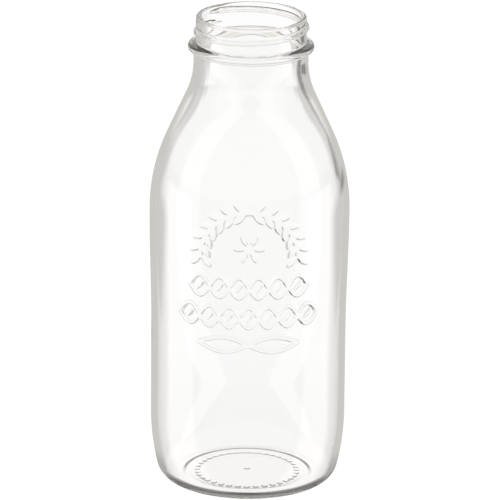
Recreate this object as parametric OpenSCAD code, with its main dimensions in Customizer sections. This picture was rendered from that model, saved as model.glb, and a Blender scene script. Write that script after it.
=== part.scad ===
// Wide-mouth glass milk bottle, about one litre.
// One moulding of clear glass, divided into the zones that its mould parts shape:
// bottom plate (base), blow mould (heel, body, shoulder) and neck ring (bead, finish, thread).
// Origin at the centre of the resting plane, +Z up out of the mouth, raised work faces -Y.

/* [Overall] */
// Height from the resting ring to the lip
bottle_h = 225; // [200:1:260]
// Largest diameter, where the body meets the shoulder
body_d = 93.5; // [88:0.5:110]
// Diameter of the straight lower body
lower_d = 91.3; // [84:0.1:93.4]
// Thickness of the side wall
wall = 2.8; // [2:0.1:4]

/* [Heel and base] */
// Height at which the heel has become the straight body
heel_h = 33; // [28:1:45]
// Radius of the long curve of the heel, seen in section
heel_r = 109; // [90:1:140]
// Radius of the foot that the bottle rests on, seen in section
foot_r = 9; // [7:0.5:12]
// Width of the flat ring that touches the table
rest_w = 2.7; // [1.5:0.1:4]
// Height of the recess under the base, at its edge
recess_h = 0.6; // [0.5:0.1:1.2]
// Width of the step up into the recess
step_w = 3; // [1.5:0.1:4]
// Further rise of the underside, from the recess's edge to the centre
push_up = 0.6; // [0.2:0.1:1]
// Height of the glass floor inside, at its edge
floor_z = 3.4; // [3.4:0.1:4.5]
// Width of the rise from the trough inside the foot up to the floor
rise_w = 10; // [6:0.5:12]
// Rise of the floor inside, from its edge to the centre
floor_rise = 0.6; // [0:0.1:1]

/* [Shoulder and neck] */
// Height where the lower body starts to widen
flare_h = 72; // [50:1:90]
// Height where the body ends and the shoulder starts
shoulder_h = 132; // [120:1:150]
// Radius of the outward curve of the shoulder, seen in section
shoulder_r = 88; // [70:1:110]
// Height of the neck's foot, above which the neck is straight
neck_h = 203; // [198:1:206]
// Radius of the inward curve into the neck, seen in section
neck_root_r = 36; // [25:1:45]
// Diameter of the neck under the bead
neck_d = 53.4; // [52:0.1:56]

/* [Mouth] */
// Outside diameter of the lip and of the wall under the thread
finish_d = 51.5; // [50.5:0.1:52]
// Diameter of the bore of the mouth
bore_d = 46.6; // [44:0.1:47.5]
// Rounding of the lip's outer and inner edge
lip_round = 1.1; // [0.5:0.1:1.2]
// Diameter over the transfer bead
bead_d = 58.7; // [56:0.1:60]
// Radius of the bead's nose, seen in section
bead_nose_r = 1.9; // [1.5:0.1:2.2]
// Depth of the middle of the bead below the lip
bead_depth = 14.6; // [14:0.1:16]

/* [Thread] */
// Diameter over the crest of the thread
thread_d = 53.8; // [53:0.1:54.4]
// Fall of the thread in one turn
thread_pitch = 5; // [4.5:0.1:5.4]
// Length of the thread, in degrees
thread_sweep = 386; // [360:1:400]
// Width of the ridge where it leaves the wall
thread_w = 3.4; // [3:0.1:3.4]
// Depth of the upper end of the thread below the lip
thread_depth = 2.6; // [2.6:0.05:3.6]
// Direction in which the upper end lies, seen from above
thread_start = 147; // [0:1:359]

/* [Raised work] */
// Height that the raised work stands off the wall
relief_h = 0.6; // [0.3:0.1:1]
// Width of a raised stem or wave line
line_w = 1.2; // [0.8:0.1:1.6]
// Height of the middle of the leaf arch
arch_z = 121; // [118:1:124]
// Radius of the stem of the leaf arch
arch_r = 22; // [20:1:24]
// Height of the middle of the upper wave band
upper_band_z = 107; // [104:1:108]
// Height of the middle of the lower wave band
lower_band_z = 92.5; // [90:0.5:94]
// Height of the middle of the long flourish
flourish_z = 79; // [75:1:81]

/* [Hidden] */
$fn = 96;

body_r = body_d / 2;
lower_r = lower_d / 2;
neck_r = neck_d / 2;
finish_r = finish_d / 2;
bore_r = bore_d / 2;

// Points on an arc about c, from angle a0 to a1 in steps.
function arc(c, r, a0, a1, steps) =
    [for (i = [0:steps]) let (a = a0 + (a1 - a0) * i / steps) c + r * [cos(a), sin(a)]];

// Direction of the point where a straight slope leaves the circle at c1, on its
// way to run along the other side of the circle at c2.
function slope_angle(c1, r1, c2, r2) =
    let (d = c2 - c1) atan2(d.y, d.x) - acos((r1 + r2) / norm(d));

// The heel's long curve ends straight up at heel_h, and the foot rolls inside it.
heel_c = [lower_r - heel_r, heel_h];
foot_c = [heel_c.x + sqrt((heel_r - foot_r) ^ 2 - (heel_h - foot_r) ^ 2), foot_r];
foot_a = atan2(foot_c.y - heel_c.y, foot_c.x - heel_c.x);
rest_r = foot_c.x;
base_r = rest_r - rest_w;
recess_r = base_r - step_w;
floor_r = rest_r - rise_w;

// The flare is a half cosine wave from the lower body to the widest place.
function flare(inset) = [for (i = [0:12])
    [lower_r + (body_r - lower_r) * (1 - cos(15 * i)) / 2 - inset,
     flare_h + (shoulder_h - flare_h) * i / 12]];

shoulder_c = [body_r - shoulder_r, shoulder_h];
root_c = [neck_r + neck_root_r, neck_h];
slope_out = slope_angle(shoulder_c, shoulder_r, root_c, neck_root_r);
inner_shoulder_r = shoulder_r - wall;
inner_root_r = neck_root_r + neck_r - bore_r;
slope_in = slope_angle(shoulder_c, inner_shoulder_r, root_c, inner_root_r);

// The neck ring's parting plane, level with the underside of the bead.
bead_z = bottle_h - bead_depth;
ring_z = bead_z - bead_nose_r;
nose_c = [bead_d / 2 - bead_nose_r, bead_z];

// A smooth fall from 1 to 0 as x goes from 0 to 1.
function swell(x) = (1 + cos(180 * min(max(x, 0), 1))) / 2;

// Height of the recessed underside and of the floor inside, at radius r.
function under_z(r) = recess_h * swell((r - recess_r) / step_w) + push_up * swell(r / recess_r);
function inside_z(r) =
    wall + (floor_z - wall) * swell((r - floor_r) / rise_w) + floor_rise * swell(r / floor_r);

// Radii from a to b in steps.
function radii(a, b, steps) = [for (i = [0:steps]) a + (b - a) * i / steps];

glass = [0.90, 0.93, 0.93, 0.5];

module revolved(outline) {
    rotate_extrude() polygon(outline);
}

module base() {
    color(glass) revolved(concat(
        [for (r = concat(radii(0, recess_r, 10), radii(recess_r + 0.25, base_r, 7))) [r, under_z(r)]],
        [for (r = concat(radii(base_r, floor_r + 0.5, 6), radii(floor_r, 0, 8))) [r, inside_z(r)]]));
}

module heel() {
    color(glass) revolved(concat(
        [[base_r, inside_z(base_r)], [base_r, 0]],
        arc(foot_c, foot_r, -90, foot_a, 14),
        [for (i = [1:6]) arc(heel_c, heel_r, foot_a, 0, 6)[i]],
        arc(heel_c, heel_r - wall, 0, foot_a, 6),
        [for (i = [1:12]) arc(foot_c, foot_r - wall, foot_a, -90, 12)[i]],
        [for (i = [1:4]) let (r = radii(rest_r, base_r, 5)[i]) [r, inside_z(r)]]));
}

module body_wall() {
    color(glass) revolved(concat(
        [[lower_r - wall, heel_h], [lower_r, heel_h]],
        flare(0),
        [for (i = [12:-1:0]) flare(wall)[i]]));
}

module shoulder() {
    outside = concat(
        arc(shoulder_c, shoulder_r, 0, slope_out, 14),
        arc(root_c, neck_root_r, 180 + slope_out, 180, 10));
    inside = concat(
        arc(root_c, inner_root_r, 180, 180 + slope_in, 10),
        arc(shoulder_c, inner_shoulder_r, slope_in, 0, 14));
    color(glass) revolved(concat(outside, inside));
}

module neck() {
    color(glass) revolved([
        [bore_r, neck_h], [neck_r, neck_h], [neck_r, ring_z], [bore_r, ring_z]]);
}

module transfer_bead() {
    color(glass) revolved(concat(
        [[finish_r, ring_z]],
        arc(nose_c, bead_nose_r, -90, 60, 12),
        [[finish_r, bead_z + bead_nose_r + 0.4]]));
}

module neck_finish() {
    color(glass) revolved(concat(
        [[bore_r, ring_z], [finish_r, ring_z]],
        arc([finish_r - lip_round, bottle_h - lip_round], lip_round, 0, 90, 6),
        arc([bore_r + lip_round, bottle_h - lip_round], lip_round, 90, 180, 6)));
}

// The ridge is swept down and round to the right, and rises and fades at its ends.
// Its section, steep below and sloping above, is given as shares of its depth and width.
module screw_thread() {
    step = 6;
    steps = ceil(thread_sweep / step);
    fade = 14;
    bite = 0.02;
    root_r = finish_r - bite;
    crest = thread_d / 2 - root_r;
    ridge = [[0, -0.5], [0.62, -0.4], [1, -0.24], [0.9, -0.02], [0.5, 0.26], [0, 0.5]];
    corners = len(ridge);
    function size(a) = max(0.06, min(1, sqrt(min(a, thread_sweep - a) / fade)));
    function section(i) =
        let (a = thread_sweep * i / steps, s = size(a), turn = thread_start - a,
             z = bottle_h - thread_depth - thread_pitch * a / 360)
        [for (p = ridge) let (r = root_r + p[0] * crest * s)
            [r * cos(turn), r * sin(turn), z + p[1] * thread_w * (0.4 + 0.6 * s)]];
    color(glass) polyhedron(
        points = [for (i = [0:steps]) each section(i)],
        faces = concat(
            [[for (k = [0:corners - 1]) k]],
            [for (i = [0:steps - 1], k = [0:corners - 1])
                let (a = i * corners + k, b = i * corners + (k + 1) % corners)
                [a, a + corners, b + corners, b]],
            [[for (k = [corners - 1:-1:0]) steps * corners + k]]));
}

// The outside of the wall from the heel to a little way up the shoulder.
wall_line = concat(
    [[lower_r, heel_h]],
    flare(0),
    [for (i = [1:4]) arc(shoulder_c, shoulder_r, 0, 16, 4)[i]]);
function on_wall(z) = [lookup(z, [for (p = wall_line) [p.y, p.x]]), z];

// A thin layer on the outside of the wall, between two heights, as deep as the relief.
module wall_skin(z0, z1) {
    line = concat([on_wall(z0)], [for (p = wall_line) if (p.y > z0 && p.y < z1) p], [on_wall(z1)]);
    revolved(concat(
        [for (p = line) p + [relief_h, 0]],
        [for (i = [len(line) - 1:-1:0]) line[i]]));
}

// Stands a flat drawing (x across, y up) on the front of the wall.
module raised(z0, z1) {
    intersection() {
        wall_skin(z0, z1);
        rotate([90, 0, 0]) linear_extrude(height = body_d) children();
    }
}

// A pointed leaf of length l and width w, its stalk at the origin and its tip along +X.
module leaf(l, w) {
    bow = (l * l + w * w) / (4 * w);
    intersection() {
        translate([l / 2, bow - w / 2]) circle(bow);
        translate([l / 2, w / 2 - bow]) circle(bow);
    }
}

// A wave line of even width about the x axis.
module wave(height, period, length, phase) {
    steps = ceil(12 * length / period);
    function at(i) = let (x = length * (i / steps - 0.5)) [x, height * sin(360 * x / period + phase)];
    function across(i) = let (d = at(i + 0.1) - at(i - 0.1)) line_w / 2 * [-d.y, d.x] / norm(d);
    polygon(concat(
        [for (i = [0:steps]) at(i) - across(i)],
        [for (i = [steps:-1:0]) at(i) + across(i)]));
}

// Two waves that cross, with a leaf in each eye between them.
module wave_band(height, period, eyes, leaf_l) {
    for (phase = [0, 180]) wave(height, period, eyes * period / 2, phase + 90 * (eyes % 2));
    for (i = [0:eyes - 1]) translate([(i - (eyes - 1) / 2) * period / 2, 0])
        rotate(55) translate([-leaf_l / 2, 0]) leaf(leaf_l, leaf_l / 3);
}

// Upper half of a ring, for the arch's stem.
module half_ring(r) {
    intersection() {
        difference() {
            circle(r + line_w / 2);
            circle(r - line_w / 2);
        }
        translate([-2 * r, 0]) square([4 * r, 2 * r]);
    }
}

// Six petals round a button.
module rosette() {
    for (a = [0:60:300]) rotate(a) translate([1.8, 0]) leaf(6, 2.6);
    circle(1.5);
}

// Two leafy stems that meet over a rosette. Leaves stand in pairs, tips away from the top.
module leaf_arch() {
    pairs = 7;
    first = 4;
    apart = 14;
    lean = 40;
    color(glass) raised(arch_z - 14, arch_z + arch_r + 7) translate([0, arch_z]) {
        half_ring(arch_r);
        for (side = [-1, 1], i = [0:pairs - 1], tilt = [-lean, lean])
            rotate(90 - side * (first + i * apart)) translate([arch_r, 0])
                rotate(side * (tilt - 90)) leaf(7.5, 2.8);
        translate([0, 5]) rosette();
    }
}

// Two narrow bands of leaves between crossing waves, over one long flourish.
module wave_bands() {
    wave_h = 5;
    period = 18;
    flourish_h = 3.5;
    flourish_l = 46;
    color(glass) {
        raised(upper_band_z - 7, upper_band_z + 7) translate([0, upper_band_z])
            wave_band(wave_h, period, 6, 6);
        raised(lower_band_z - 7, lower_band_z + 7) translate([0, lower_band_z])
            wave_band(wave_h, period, 7, 6);
        raised(flourish_z - 5, flourish_z + 5) translate([0, flourish_z])
            for (phase = [0, 180]) wave(flourish_h, flourish_l, flourish_l, phase);
    }
}

// A ring of small dots on the recessed underside, and one in its middle.
module base_marks() {
    ring = base_r * 0.76;
    count = 36;
    dot_r = 1.2;
    height = recess_h - 0.1;
    color(glass) {
        intersection() {
            for (i = [0:count - 1]) rotate(i * 360 / count) translate([ring, 0, 0])
                cylinder(r = dot_r, h = recess_h + push_up, $fn = 24);
            revolved([
                [ring - 2, under_z(ring - 2)], [ring - 2, under_z(ring - 2) - height],
                [ring + 2, under_z(ring + 2) - height], [ring + 2, under_z(ring + 2)]]);
        }
        revolved([
            [0, under_z(0)], [0, under_z(0) - height],
            [dot_r, under_z(0) - height], [dot_r, under_z(dot_r)]]);
    }
}

base();
heel();
body_wall();
shoulder();
neck();
transfer_bead();
neck_finish();
screw_thread();
leaf_arch();
wave_bands();
base_marks();
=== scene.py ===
"""A one-litre clear glass milk bottle with a screw mouth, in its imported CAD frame.

The glass is one closed shell: an outline is drawn by extruding a point, spun round the
bottle's axis, and its raised leaves, waves and thread are pressed out of the wall.
"""

import math

import bpy
import numpy as np

from mathutils import Matrix, Vector


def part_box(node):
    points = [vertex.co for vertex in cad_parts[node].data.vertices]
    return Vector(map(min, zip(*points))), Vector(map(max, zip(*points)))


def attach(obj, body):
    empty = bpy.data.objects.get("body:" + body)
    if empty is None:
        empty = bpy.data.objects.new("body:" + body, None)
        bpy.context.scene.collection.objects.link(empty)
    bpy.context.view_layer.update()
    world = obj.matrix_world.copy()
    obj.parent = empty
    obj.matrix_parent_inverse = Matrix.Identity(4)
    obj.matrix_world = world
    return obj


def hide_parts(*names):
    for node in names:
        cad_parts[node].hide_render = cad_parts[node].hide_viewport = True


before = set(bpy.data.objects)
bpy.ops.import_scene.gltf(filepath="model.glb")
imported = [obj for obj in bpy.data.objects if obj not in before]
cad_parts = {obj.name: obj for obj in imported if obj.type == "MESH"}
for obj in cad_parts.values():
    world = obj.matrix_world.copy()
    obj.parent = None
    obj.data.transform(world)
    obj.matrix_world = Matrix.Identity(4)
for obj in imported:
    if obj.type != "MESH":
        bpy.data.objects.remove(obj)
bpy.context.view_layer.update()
MM = 0.001


# ---------------------------------------------------------------- sizes, in millimetres
def reach(node):
    """(widest radius, highest height) of a round CAD zone."""
    _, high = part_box(node)
    return high.x / MM, high.z / MM


BASE_R, FLOOR_TOP = reach("base")
LOWER_R, HEEL_H = reach("heel")
BODY_R, SHOULDER_H = reach("body_wall")
_, NECK_H = reach("shoulder")
NECK_R, RING_Z = reach("neck")
BEAD_R, BEAD_TOP = reach("transfer_bead")
FINISH_R, BOTTLE_H = reach("neck_finish")

WALL = 2.8
FOOT_R = 9.0
HEEL_CURVE_R = 109.0
FLARE_H = 72.0
SHOULDER_CURVE_R = 88.0
NECK_ROOT_R = 36.0
BEAD_NOSE_R = 1.9
BEAD_FILLET_R = 0.7
BEAD_Z = RING_Z + BEAD_NOSE_R
BORE_R = 23.3
LIP_ROUND = 1.1

# The underside steps up inside the resting ring and then domes a little, as the mould's
# bottom plate leaves it. The floor inside has a trough round a shallow dome.
STEP_W = 3.0
RECESS_H = 0.6
PUSH_UP = 1.2
RISE_W = 10.0
FLOOR_EDGE_Z = 3.4

# The thread is one ridge, steep below and sloping above. Its upper end starts at
# THREAD_START degrees, THREAD_DEPTH under the lip, and it runs down clockwise from there.
THREAD_R = 26.9
THREAD_PITCH = 5.0
THREAD_START = 147.0
THREAD_SWEEP = 386.0
THREAD_DEPTH = 2.6
THREAD_W = 3.4
THREAD_END_SHARE = 0.3  # its width where it starts and stops, as a share of THREAD_W
THREAD_FADE = 22.0  # degrees over which each end grows to the full ridge
THREAD_UNDER_SHARE = 0.25  # the steep flank's share of the width
THREAD_CREST = 0.95  # the two flanks' product is cut off flat here

# The raised decoration on the front: an arch of leaves over a rosette, two bands of
# crossing waves with a leaf in each eye, and a plain flourish.
RELIEF_H = 0.6
RELIEF_FROM, RELIEF_TO = 73.0, 150.0
LINE_W = 1.2
LINE_CREST = 1.5  # a bell this much too high, cut off at 1 for a flat top
LEAF_CREST = 1.1  # the same for a leaf's dome
LEAF_TIP = 0.02  # a leaf's least width, as a share of its full width
ARCH_Z, ARCH_R = 121.0, 22.0
LEAF_PAIRS, FIRST_LEAF, LEAVES_APART, LEAF_LEAN = 7, 4, 14, 40
LEAF_L, LEAF_W = 7.5, 2.8
ROSETTE_Z = ARCH_Z + 5
PETAL_ROOT, PETAL_L, PETAL_W = 1.8, 6.0, 2.6
ROSETTE_EYE_W = 4.4
WAVE_H, WAVE_PERIOD = 5.0, 18.0
EYE_LEAF_L, EYE_LEAF_TURN = 6.0, 55
UPPER_BAND_Z, UPPER_EYES = 107.0, 6
LOWER_BAND_Z, LOWER_EYES = 92.5, 7
FLOURISH_Z, FLOURISH_H, FLOURISH_L = 79.0, 3.5, 46.0
WAVE_POINTS, STEM_POINTS = 24, 49  # points along a period, and along the arch

# Dots in a ring under the base, and one in its middle.
MARK_RING_R = BASE_R * 0.76
MARK_COUNT = 36
MARK_H = 0.5
MARK_R = 1.2
MARK_FOOT_W = 2.6 * MARK_R
MARK_CREST = 1.4  # as for a line
MARK_ZONE = 2.0  # the mesh is fine this far from a dot's middle

# The wall is finest where its raised work is: the front, between RELIEF_FROM and RELIEF_TO,
# the thread, and the rings under the base. Steps are along the outline.
FRONT_ANGLE, FRONT_STEPS, BACK_STEPS = 100.0, 160, 78
FINE_STEP = 0.52
THREAD_STEP = 0.3
BASE_STEP = 0.4
BASE_RIM_STEP = 1.2
PLAIN_STEP = 3.0
WALL_STEP = 6.0
SKIN = 0.2  # how near the outline a point has to be to lie on the outer face
SAME_PLACE = 0.01  # nearer points of an outline are one


# ---------------------------------------------------------------- the outline
def arc(centre, radius, start, end, steps):
    """Points on an arc, its angles in degrees from the outward direction."""
    turns = [math.radians(start + (end - start) * i / steps) for i in range(steps + 1)]
    return [(centre[0] + radius * math.cos(t), centre[1] + radius * math.sin(t)) for t in turns]


def slope_angle(c1, r1, c2, r2):
    """Angle at which a straight slope leaves circle 1 to run along the far side of circle 2."""
    dx, dz = c2[0] - c1[0], c2[1] - c1[1]
    return math.degrees(math.atan2(dz, dx) - math.acos((r1 + r2) / math.hypot(dx, dz)))


def swell(share):
    """A smooth fall from 1 to 0 as share goes from 0 to 1."""
    return (1 + math.cos(math.pi * min(max(share, 0), 1))) / 2


def under_z(radius):
    """Height of the underside: a step up inside the resting ring, then a shallow dome."""
    edge = BASE_R - STEP_W
    dome = (PUSH_UP - RECESS_H) * swell(radius / edge)
    return RECESS_H * swell((radius - edge) / STEP_W) + dome


def inside_z(radius):
    """Height of the floor inside: a shallow dome, with a step down into the trough round it."""
    edge = REST_R - RISE_W
    dome = (FLOOR_TOP - FLOOR_EDGE_Z) * swell(radius / edge)
    return WALL + (FLOOR_EDGE_Z - WALL) * swell((radius - edge) / RISE_W) + dome


def flare(z):
    """Outer radius of the side wall between the heel and the shoulder."""
    share = min(max((z - FLARE_H) / (SHOULDER_H - FLARE_H), 0), 1)
    return LOWER_R + (BODY_R - LOWER_R) * (1 - math.cos(math.pi * share)) / 2


HEEL_C = (LOWER_R - HEEL_CURVE_R, HEEL_H)
REST_R = HEEL_C[0] + math.sqrt((HEEL_CURVE_R - FOOT_R) ** 2 - (HEEL_H - FOOT_R) ** 2)
FOOT_C = (REST_R, FOOT_R)
FOOT_ANGLE = math.degrees(math.atan2(FOOT_R - HEEL_H, REST_R - HEEL_C[0]))
SHOULDER_C = (BODY_R - SHOULDER_CURVE_R, SHOULDER_H)
ROOT_C = (NECK_R + NECK_ROOT_R, NECK_H)


def spread(start, end, step):
    """Values from start to end, both included, about one step apart."""
    count = max(1, round(abs(end - start) / step))
    return [start + (end - start) * i / count for i in range(count + 1)]


def shoulder(inset, steps, root_steps):
    """The shoulder from the side wall to the neck, set in by the wall's thickness or not at all."""
    curve_r = SHOULDER_CURVE_R - inset
    root_r = NECK_ROOT_R + (NECK_R - BORE_R if inset else 0)
    turn = slope_angle(SHOULDER_C, curve_r, ROOT_C, root_r)
    fine = math.degrees(math.asin((RELIEF_TO - SHOULDER_H) / SHOULDER_CURVE_R))
    if inset:
        lower = arc(SHOULDER_C, curve_r, 0, turn, steps)
    else:
        fine_steps = round((RELIEF_TO - SHOULDER_H) / FINE_STEP)
        lower = arc(SHOULDER_C, curve_r, 0, fine, fine_steps)
        lower += arc(SHOULDER_C, curve_r, fine, turn, steps)[1:]
    root = arc(ROOT_C, root_r, 180 + turn, 180, root_steps)
    (x0, z0), (x1, z1) = lower[-1], root[0]
    slope_steps = 6
    shares = [i / slope_steps for i in range(1, slope_steps)]
    slope = [(x0 + (x1 - x0) * share, z0 + (z1 - z0) * share) for share in shares]
    return lower + slope + root


def outside():
    """The outline from the middle of the underside up the outside to the top of the lip."""
    marks_from, marks_to = MARK_RING_R - MARK_ZONE, MARK_RING_R + MARK_ZONE
    edge = BASE_R - STEP_W
    radii = spread(0, MARK_ZONE, BASE_STEP) + spread(MARK_ZONE, marks_from, PLAIN_STEP)[1:-1]
    radii += spread(marks_from, marks_to, BASE_STEP) + spread(marks_to, edge, BASE_RIM_STEP)[1:-1]
    radii += spread(edge, BASE_R, BASE_STEP)
    under = [(r, under_z(r)) for r in radii]
    foot = arc(FOOT_C, FOOT_R, -90, FOOT_ANGLE, steps=16)
    heel = arc(HEEL_C, HEEL_CURVE_R, FOOT_ANGLE, 0, steps=8)[1:]
    heights = spread(HEEL_H, RELIEF_FROM, WALL_STEP)[1:-1]
    heights += spread(RELIEF_FROM, SHOULDER_H, FINE_STEP)
    side = [(flare(z), z) for z in heights]
    under_c = (NECK_R + BEAD_FILLET_R, RING_Z - BEAD_FILLET_R)
    nose_c = (BEAD_R - BEAD_NOSE_R, BEAD_Z)
    over_c = (FINISH_R + BEAD_FILLET_R, BEAD_TOP + BEAD_FILLET_R)
    bead = arc(under_c, BEAD_FILLET_R, 180, 90, steps=4)
    bead += arc(nose_c, BEAD_NOSE_R, -90, 90, steps=14)
    bead += arc(over_c, BEAD_FILLET_R, -90, -180, steps=4)
    lip_c = (FINISH_R - LIP_ROUND, BOTTLE_H - LIP_ROUND)
    finish = [(FINISH_R, z) for z in spread(over_c[1], lip_c[1], THREAD_STEP)[1:-1]]
    lip = arc(lip_c, LIP_ROUND, 0, 90, steps=7)
    slope = shoulder(inset=0, steps=10, root_steps=10)[1:]
    return under + foot + heel + side + slope + bead + finish + lip


def inside():
    """The outline from the lip down the inside to the middle of the floor."""
    lip_c = (BORE_R + LIP_ROUND, BOTTLE_H - LIP_ROUND)
    lip = arc(lip_c, LIP_ROUND, 90, 180, steps=7)
    bore = [(BORE_R, z) for z in spread(lip_c[1], NECK_H, PLAIN_STEP)[1:-1]]
    neck = shoulder(inset=WALL, steps=14, root_steps=8)[::-1]
    side = [(flare(z) - WALL, z) for z in spread(SHOULDER_H, HEEL_H, WALL_STEP)[1:]]
    corner = arc(HEEL_C, HEEL_CURVE_R - WALL, 0, FOOT_ANGLE, steps=8)
    corner += arc(FOOT_C, FOOT_R - WALL, FOOT_ANGLE, -90, steps=14)
    edge = REST_R - RISE_W
    radii = spread(REST_R, edge, BASE_STEP)[1:-1] + spread(edge, 0, PLAIN_STEP)
    floor = [(r, inside_z(r)) for r in radii]
    return lip + bore + neck + side + corner + floor


# ---------------------------------------------------------------- modelling helpers
def clear_selection():
    """Nothing is selected and no mesh is being edited."""
    if bpy.context.object and bpy.context.object.mode != "OBJECT":
        bpy.ops.object.mode_set(mode="OBJECT")
    bpy.ops.object.select_all(action="DESELECT")


def draw_outline(name, points):
    """A point, extruded along an outline in the XZ plane, in edit mode with all of it selected."""
    clear_selection()
    bpy.ops.mesh.primitive_plane_add(size=MM)
    piece = bpy.context.object
    piece.name = piece.data.name = name
    bpy.ops.object.mode_set(mode="EDIT")
    bpy.ops.mesh.select_all(action="SELECT")
    bpy.ops.mesh.merge(type="CENTER")
    bpy.ops.transform.translate(value=(points[0][0] * MM, 0, points[0][1] * MM))
    for (x0, z0), (x1, z1) in zip(points, points[1:]):
        step = ((x1 - x0) * MM, 0, (z1 - z0) * MM)
        bpy.ops.mesh.extrude_region_move(TRANSFORM_OT_translate={"value": step})
    bpy.ops.mesh.select_all(action="SELECT")
    return piece


def without_repeats(points):
    """The outline with no two neighbouring points in one place."""
    kept = points[:1]
    for p in points[1:]:
        if math.dist(p, kept[-1]) > SAME_PLACE:
            kept.append(p)
    return kept


def turn_outline():
    """Spins the drawn outline once round the axis: finely across the front, then coarsely."""
    half = math.radians(FRONT_ANGLE / 2)
    centre, axis = (0, 0, 0), (0, 0, 1)
    # This puts the outline at one end of the front: with no window, rotate turns the other way.
    bpy.ops.transform.rotate(
        value=math.radians(90) - half, orient_axis="Z", center_override=centre
    )
    bpy.ops.mesh.spin(steps=FRONT_STEPS, angle=2 * half, center=centre, axis=axis)
    bpy.ops.mesh.spin(steps=BACK_STEPS, angle=2 * math.pi - 2 * half, center=centre, axis=axis)
    bpy.ops.mesh.select_all(action="SELECT")
    bpy.ops.mesh.remove_doubles(threshold=2 * SAME_PLACE * MM)
    bpy.ops.mesh.normals_make_consistent(inside=False)
    bpy.ops.object.mode_set(mode="OBJECT")
    bpy.ops.object.shade_smooth()


# ---------------------------------------------------------------- raised work
def bell(distance, width):
    """A soft ridge's height, from 1 in the middle to 0 at half its width."""
    share = np.clip(2 * np.abs(distance) / width, 0, 1)
    return (1 + np.cos(np.pi * share)) / 2


def ease(share):
    """A smooth rise from 0 to 1 as share goes from 0 to 1."""
    share = np.clip(share, 0, 1)
    return share * share * (3 - 2 * share)


def distance_to(points, x, z):
    """Distance from each place to a line through points."""
    nearest = np.full(x.shape, np.inf)
    for (x0, z0), (x1, z1) in zip(points, points[1:]):
        dx, dz = x1 - x0, z1 - z0
        along = np.clip(((x - x0) * dx + (z - z0) * dz) / (dx * dx + dz * dz), 0, 1)
        nearest = np.minimum(nearest, np.hypot(x - x0 - along * dx, z - z0 - along * dz))
    return nearest


def line_height(points, x, z):
    """A raised line with a flat top and soft feet."""
    return np.clip(LINE_CREST * bell(distance_to(points, x, z), 2 * LINE_W), 0, 1)


def leaf_height(x, z, stalk, turn, length, width):
    """A raised, domed, pointed leaf, its stalk at a point and its tip turned from +X."""
    c, s = math.cos(math.radians(turn)), math.sin(math.radians(turn))
    along = ((x - stalk[0]) * c + (z - stalk[1]) * s) / length
    across = (z - stalk[1]) * c - (x - stalk[0]) * s
    half = width / 2 * np.clip(4 * along * (1 - along), LEAF_TIP, 1)
    blade = np.sqrt(np.clip(LEAF_CREST - (across / half) ** 2, 0, 1))
    return np.where((along > 0) & (along < 1), blade, 0)


def wave_line(height, period, length, phase, middle):
    """Points along a wave about a level line."""
    count = math.ceil(WAVE_POINTS * length / period)
    xs = [length * (i / count - 0.5) for i in range(count + 1)]
    return [(x, middle + height * math.sin(math.radians(360 * x / period + phase))) for x in xs]


def wave_band_height(x, z, middle, eyes):
    """Two waves that cross, with a leaf in each eye between them."""
    height = np.zeros(x.shape)
    eye_w = WAVE_PERIOD / 2
    for phase in (0, 180):
        line = wave_line(WAVE_H, WAVE_PERIOD, eyes * eye_w, phase + 90 * (eyes % 2), middle)
        height = np.maximum(height, line_height(line, x, z))
    lean = math.radians(EYE_LEAF_TURN)
    half_x, half_z = EYE_LEAF_L / 2 * math.cos(lean), EYE_LEAF_L / 2 * math.sin(lean)
    for i in range(eyes):
        stalk = ((i - (eyes - 1) / 2) * eye_w - half_x, middle - half_z)
        leaf = leaf_height(x, z, stalk, EYE_LEAF_TURN, EYE_LEAF_L, EYE_LEAF_L / 3)
        height = np.maximum(height, leaf)
    return height


def arch_height(x, z):
    """Two leafy stems that meet over a rosette."""
    turns = np.linspace(0, math.pi, STEM_POINTS)
    stem = [(ARCH_R * math.cos(a), ARCH_Z + ARCH_R * math.sin(a)) for a in turns]
    height = line_height(stem, x, z)
    for side in (-1, 1):
        for i in range(LEAF_PAIRS):
            place = 90 - side * (FIRST_LEAF + i * LEAVES_APART)
            a = math.radians(place)
            stalk = (ARCH_R * math.cos(a), ARCH_Z + ARCH_R * math.sin(a))
            for lean in (-LEAF_LEAN, LEAF_LEAN):
                leaf = leaf_height(x, z, stalk, place + side * (lean - 90), LEAF_L, LEAF_W)
                height = np.maximum(height, leaf)
    for turn in range(0, 360, 60):
        a = math.radians(turn)
        root = (PETAL_ROOT * math.cos(a), ROSETTE_Z + PETAL_ROOT * math.sin(a))
        height = np.maximum(height, leaf_height(x, z, root, turn, PETAL_L, PETAL_W))
    return np.maximum(height, bell(np.hypot(x, z - ROSETTE_Z), ROSETTE_EYE_W))


def relief_height(x, z):
    """The whole raised decoration, from 0 to 1, over a flat drawing of the front."""
    height = arch_height(x, z)
    height = np.maximum(height, wave_band_height(x, z, UPPER_BAND_Z, UPPER_EYES))
    height = np.maximum(height, wave_band_height(x, z, LOWER_BAND_Z, LOWER_EYES))
    for phase in (0, 180):
        line = wave_line(FLOURISH_H, FLOURISH_L, FLOURISH_L, phase, FLOURISH_Z)
        height = np.maximum(height, line_height(line, x, z))
    return height


def thread_height(angle, z):
    """The screw thread's height in millimetres, at an angle in degrees and a height."""
    height = np.zeros(angle.shape)
    for turn in (0, 1):
        gone = np.mod(THREAD_START - angle, 360) + 360 * turn
        middle = BOTTLE_H - THREAD_DEPTH - THREAD_PITCH * gone / 360
        grown = np.clip(np.minimum(gone, THREAD_SWEEP - gone) / THREAD_FADE, 0, 1)
        width = THREAD_W * (THREAD_END_SHARE + (1 - THREAD_END_SHARE) * grown)
        share = (z - middle) / width + 0.5
        under, over = ease(share / THREAD_UNDER_SHARE), ease((1 - share) / (1 - THREAD_UNDER_SHARE))
        ridge = np.minimum(under * over / THREAD_CREST, 1) * grown
        height = np.maximum(height, np.where(gone <= THREAD_SWEEP, ridge, 0))
    return height * (THREAD_R - FINISH_R)


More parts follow.
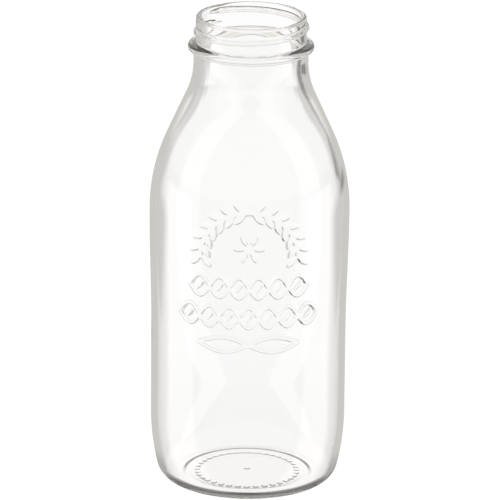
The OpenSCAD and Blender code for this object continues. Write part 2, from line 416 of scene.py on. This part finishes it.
def mark_height(radius, angle):
    """The height in millimetres of the dots under the base."""
    turn = angle * MARK_COUNT / (2 * math.pi)
    along = (turn - np.round(turn)) * 2 * math.pi / MARK_COUNT * MARK_RING_R
    distance = np.minimum(np.hypot(radius - MARK_RING_R, along), radius)
    return MARK_H * np.clip(MARK_CREST * bell(distance, MARK_FOOT_W), 0, 1)


def press_out(piece):
    """Moves the wall's points for the raised work, the thread and the marks under the base."""
    mesh = piece.data
    co = np.empty(len(mesh.vertices) * 3)
    mesh.vertices.foreach_get("co", co)
    co = co.reshape(-1, 3) / MM
    x, y, z = co.T
    radius, angle = np.hypot(x, y), np.arctan2(y, x)
    rim = np.array(without_repeats(outside()))
    order = rim[:, 1].argsort()
    skin_r = np.interp(z, rim[order, 1], rim[order, 0]) - SKIN
    front = (z > RELIEF_FROM) & (z < RELIEF_TO) & (y < 0) & (radius > skin_r)
    ring = (z > BEAD_TOP) & (radius > FINISH_R - SKIN)
    under = (z < PUSH_UP + SKIN / 2) & (radius < BASE_R)
    out = np.zeros(len(co))
    out[front] = RELIEF_H * relief_height(x[front], z[front])
    out[ring] = thread_height(np.degrees(angle[ring]), z[ring])
    down = mark_height(radius[under], angle[under])
    # Points within a millimetre of the axis have nothing to move out, and no division by zero.
    co[:, :2] *= (1 + out / np.maximum(radius, 1))[:, None]
    co[under, 2] -= down
    mesh.vertices.foreach_set("co", (co * MM).ravel())
    mesh.update()


# ---------------------------------------------------------------- materials
def linear(hex_colour):
    """An sRGB hex colour as linear red, green, blue and alpha."""
    parts = [int(hex_colour[i:i + 2], 16) / 255 for i in (1, 3, 5)]
    return [c / 12.92 if c <= 0.04045 else ((c + 0.055) / 1.055) ** 2.4 for c in parts] + [1]


def add(tree, kind, settings=None, links=None):
    """Adds a node. settings are its own values or its inputs' values; links are its inputs'
    sources, where a node stands for its first output."""
    node = tree.nodes.new(kind)
    for name, value in (settings or {}).items():
        if isinstance(name, str) and hasattr(node, name):
            setattr(node, name, value)
        else:
            node.inputs[name].default_value = value
    for name, source in (links or {}).items():
        tree.links.new(getattr(source, "outputs", [source])[0], node.inputs[name])
    return node


def new_material(name):
    """A material with an empty node tree."""
    material = bpy.data.materials.new(name)
    material.use_nodes = True
    material.node_tree.nodes.clear()
    return material, material.node_tree


# Soda-lime flint glass, blown in an iron mould: clear and fire-polished, its wall very
# slightly wavy, and a faint grey where the light's way through it is long.
GLASS_COLOUR = "#FEFEFE"
GLASS_IOR = 1.52
GLASS_GREY, GREY_DENSITY = "#C0BFBE", 6.0
RIPPLE_WIDTH, RIPPLE_DEPTH, RIPPLE_STRENGTH = 24 * MM, 0.4 * MM, 0.12


def flint_glass():
    """The bottle's glass."""
    material, tree = new_material("flint_glass")
    place = add(tree, "ShaderNodeTexCoord").outputs["Object"]
    ripples = add(tree, "ShaderNodeTexNoise", {"Scale": 1 / RIPPLE_WIDTH, "Detail": 1.0},
                  {"Vector": place})
    bump = add(tree, "ShaderNodeBump", {"Strength": RIPPLE_STRENGTH, "Distance": RIPPLE_DEPTH},
               {"Height": ripples})
    shader = add(tree, "ShaderNodeBsdfPrincipled",
                 {"Base Color": linear(GLASS_COLOUR), "Roughness": 0.0, "IOR": GLASS_IOR,
                  "Transmission Weight": 1.0}, {"Normal": bump})
    grey = add(tree, "ShaderNodeVolumeAbsorption",
               {"Color": linear(GLASS_GREY), "Density": GREY_DENSITY})
    add(tree, "ShaderNodeOutputMaterial", links={"Surface": shader, "Volume": grey})
    return material


# ---------------------------------------------------------------- studio
# Clear glass shows only what stands round it, so light and shade are painted into the white
# table, and the sky is graded, as a studio grades them with cards and felt, once for what is
# seen through the glass and once for what the glass mirrors; looked at directly, both stay
# white. Each grading is a first strength, then edges: where a change starts, where it ends,
# and the strength after it. Table distances are in metres from the bottle's axis, bearings
# in degrees from straight behind it, the right being positive, and the sky goes by its rise,
# from 0 at the horizon to 1 overhead.
PAPER_WHITE = 1.05  # the table and walls where they are looked at directly
WHITE, WARM_WALL = "#FFFFFF", "#FFFCF7"

# Seen through the glass: four white strips cross under the bottle with painted grey shade
# between them, which gives the soft grey edges and draws the raised work; the table is
# painted a little dimmer under the bottle and darker far out; a painted dark patch, standing
# in for black felt, lies far behind on the right.
STRIP_TURNS = (0, 45, 90, 135)
STRIP_HALF = (0.078, ((0.4, 0.54, 0.125),))  # a strip's half width, by distance
STRIPS = (1.02, ((1.0, 1.5, 0.62),))  # by the half widths from a strip's middle line
REACH = (0.97, ((0.08, 0.2, 1.0), (1.1, 1.6, 0.6)))
# A painted dark patch seen only through the glass, standing in for black felt: by bearing, then by
# distance.
DARK_PATCH_SEEN = ((1.0, ((15, 18, 0.0), (30, 34, 1.0))), (1.0, ((0.57, 0.62, 0.0),)))
SKY_SEEN = (0.6, ((-0.02, 0.1, 0.4),))

# Mirrored: the table is grey behind, brighter than white at either side as a painted
# reflection of side softboxes, and duller in front, by the bearing from a point APEX metres
# in front of the axis; a painted contact shadow dims it under the base and makes a dark ring
# close round the foot, and a painted dark patch, standing in for dark felt, lies far behind
# on the right.
APEX = 0.041
# Brighter than white at either side: a painted reflection of side softboxes.
SIDES_MIRRORED = (0.61, ((64, 70, 1.35), (104, 108, 0.75)))
# A painted contact shadow: dimmer under the base and a dark ring close round the foot.
FOOT_SHADOW_MIRRORED = (
    0.7,
    ((0.030, 0.032, 0.55), (0.035, 0.0365, 0.17), (0.039, 0.042, 0.7), (0.045, 0.065, 1.0)),
)
# A painted dark patch mirrored in the glass, standing in for dark felt: by bearing, then by
# distance.
DARK_PATCH_MIRRORED = (
    (1.0, ((27.5, 29.5, 0.0), (46, 52, 1.0))),
    (1.0, ((0.71, 0.74, 0.35), (0.86, 0.95, 1.0))),
)
SKY_MIRRORED = (0.7, ((0.0, 0.1, 1.0),))

FLOOR_R, FLOOR_SIDES = 6, 96
# Light crosses four faces of glass on its way through the body, and many more at the mouth.
LIGHT_BOUNCES, GLASS_BOUNCES = 64, 48

# Distances in metres, angles in degrees, lens and sensor in millimetres.
AIM = Vector((0.0004, 0, 0.1111))
CAMERA_FAR, CAMERA_CLIP = 3.0, 20
CAMERA_DOWN, CAMERA_ROLL = 17.5, 0.57
CAMERA_LENS, CAMERA_SENSOR = 461.2, 36


def graded(tree, value, first, edges):
    """A strength by a value, which moves smoothly to the next one at each edge."""
    level = None
    for start, end, after in edges:
        settings = {"interpolation_type": "SMOOTHSTEP", "From Min": start, "From Max": end,
                    "To Max": after}
        links = {"Value": value}
        if level is None:
            settings["To Min"] = first
        else:
            links["To Min"] = level
        level = add(tree, "ShaderNodeMapRange", settings, links)
    return level


def bearing(tree, aside, behind):
    """The angle in degrees from straight behind of a place so far aside and so far behind."""
    turn = add(tree, "ShaderNodeMath", {"operation": "ARCTAN2"}, {0: aside, 1: behind})
    return add(tree, "ShaderNodeMath", {"operation": "DEGREES"}, {0: turn})


def side_level(tree, spot):
    """The painted level the glass mirrors behind it, at either side, where a painted reflection of
    side softboxes makes it brighter than white, and in front.
    """
    aside = add(tree, "ShaderNodeMath", {"operation": "ABSOLUTE"}, {0: spot.outputs["X"]})
    behind = add(tree, "ShaderNodeMath", {"operation": "ADD", 1: APEX}, {0: spot.outputs["Y"]})
    return graded(tree, bearing(tree, aside, behind), *SIDES_MIRRORED)


def strip_distance(tree, place):
    """The distance from the middle line of the nearest strip."""
    nearest = None
    for turn in STRIP_TURNS:
        a = math.radians(turn)
        across = add(tree, "ShaderNodeVectorMath",
                     {"operation": "DOT_PRODUCT", 1: (math.cos(a), math.sin(a), 0)}, {0: place})
        off = add(tree, "ShaderNodeMath", {"operation": "ABSOLUTE"}, {0: across.outputs["Value"]})
        if nearest is None:
            nearest = off
        else:
            nearest = add(tree, "ShaderNodeMath", {"operation": "MINIMUM"}, {0: nearest, 1: off})
    return nearest


def dark_patch_level(tree, turned, far, by_bearing, by_distance):
    """A painted dark patch, standing in for felt, where both its bearing and its distance say so,
    and full strength elsewhere.
    """
    return add(tree, "ShaderNodeMath", {"operation": "MAXIMUM"},
               {0: graded(tree, turned, *by_bearing), 1: graded(tree, far, *by_distance)})


def glow(tree, through, mirrored):
    """White where it is looked at, and levels of its own seen through the glass or mirrored."""
    path = add(tree, "ShaderNodeLightPath")
    bounces = add(tree, "ShaderNodeMath", {"operation": "SUBTRACT"},
                  {0: path.outputs["Ray Depth"], 1: path.outputs["Transmission Depth"]})
    # Bounces are whole numbers, so one mirroring or more is over a half.
    is_mirrored = add(tree, "ShaderNodeMath", {"operation": "GREATER_THAN", 1: 0.5}, {0: bounces})
    by_glass = add(tree, "ShaderNodeMix", {"data_type": "FLOAT"},
                   {"Factor": is_mirrored, "A": through, "B": mirrored})
    strength = add(tree, "ShaderNodeMix", {"data_type": "FLOAT", "B": PAPER_WHITE},
                   {"Factor": path.outputs["Is Camera Ray"], "A": by_glass.outputs["Result"]})
    colour = add(tree, "ShaderNodeMix",
                 {"data_type": "RGBA", "A": linear(WHITE), "B": linear(WARM_WALL)},
                 {"Factor": is_mirrored})
    return {"Strength": strength.outputs["Result"], "Color": colour.outputs["Result"]}


def light_table():
    """Opal acrylic lit from below and around, as white as paper where it is looked at, with painted
    light and shade that show only through the glass or mirrored in it.
    """
    material, tree = new_material("opal_acrylic")
    place = add(tree, "ShaderNodeTexCoord").outputs["Object"]
    spot = add(tree, "ShaderNodeSeparateXYZ", links={0: place})
    far = add(tree, "ShaderNodeVectorMath", {"operation": "LENGTH"}, {0: place}).outputs["Value"]
    turned = bearing(tree, spot.outputs["X"], spot.outputs["Y"])
    widths = add(tree, "ShaderNodeMath", {"operation": "DIVIDE"},
                 {0: strip_distance(tree, place), 1: graded(tree, far, *STRIP_HALF)})
    through = graded(tree, widths, *STRIPS)
    # Painted shade seen only through the glass: grey between the strips, a little dimmer under the
    # bottle and darker far out, and a dark patch for felt.
    for level in (graded(tree, far, *REACH), dark_patch_level(tree, turned, far, *DARK_PATCH_SEEN)):
        through = add(tree, "ShaderNodeMath", {"operation": "MULTIPLY"}, {0: through, 1: level})
    # Painted reflections: the sides' levels, a contact shadow ring round the foot and a dark patch
    # for felt.
    mirrored = side_level(tree, spot)
    for level in (graded(tree, far, *FOOT_SHADOW_MIRRORED), dark_patch_level(tree, turned, far, *DARK_PATCH_MIRRORED)):
        mirrored = add(tree, "ShaderNodeMath", {"operation": "MULTIPLY"}, {0: mirrored, 1: level})
    lit = add(tree, "ShaderNodeEmission", links=glow(tree, through, mirrored))
    add(tree, "ShaderNodeOutputMaterial", links={"Surface": lit})
    return material


def make_floor():
    """A large round light table."""
    clear_selection()
    bpy.ops.mesh.primitive_circle_add(vertices=FLOOR_SIDES, radius=FLOOR_R, fill_type="NGON")
    floor = bpy.context.object
    floor.name = "floor"
    floor.data.materials.append(light_table())


def make_sky():
    """The studio's walls and lights, by how high they stand."""
    world = bpy.data.worlds.new("studio")
    bpy.context.scene.world = world
    world.use_nodes = True
    tree = world.node_tree
    tree.nodes.clear()
    way = add(tree, "ShaderNodeTexCoord").outputs["Generated"]
    rise = add(tree, "ShaderNodeSeparateXYZ", links={0: way}).outputs["Z"]
    through, mirrored = graded(tree, rise, *SKY_SEEN), graded(tree, rise, *SKY_MIRRORED)
    air = add(tree, "ShaderNodeBackground", links=glow(tree, through, mirrored))
    add(tree, "ShaderNodeOutputWorld", links={"Surface": air})


def make_camera():
    """A long lens, looking down a little, tipped by half a degree."""
    camera = bpy.data.objects.new("camera", bpy.data.cameras.new("camera"))
    bpy.context.scene.collection.objects.link(camera)
    down = math.radians(CAMERA_DOWN)
    back = Vector((0, -math.cos(down), math.sin(down)))
    roll = Matrix.Rotation(math.radians(CAMERA_ROLL), 3, "Z")
    camera.location = AIM + back * CAMERA_FAR
    camera.rotation_euler = ((-back).to_track_quat("-Z", "Y").to_matrix() @ roll).to_euler()
    camera.data.lens = CAMERA_LENS
    camera.data.sensor_width = CAMERA_SENSOR
    camera.data.clip_end = CAMERA_CLIP
    bpy.context.scene.camera = camera


bpy.context.scene.view_settings.view_transform = "Standard"
bpy.context.scene.cycles.max_bounces = LIGHT_BOUNCES
bpy.context.scene.cycles.transmission_bounces = GLASS_BOUNCES
bpy.context.scene.cycles.glossy_bounces = GLASS_BOUNCES
make_camera()
make_floor()
make_sky()

glass = draw_outline("bottle_glass", without_repeats(outside() + inside()))
turn_outline()
press_out(glass)
glass.data.materials.append(flint_glass())
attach(glass, "root")
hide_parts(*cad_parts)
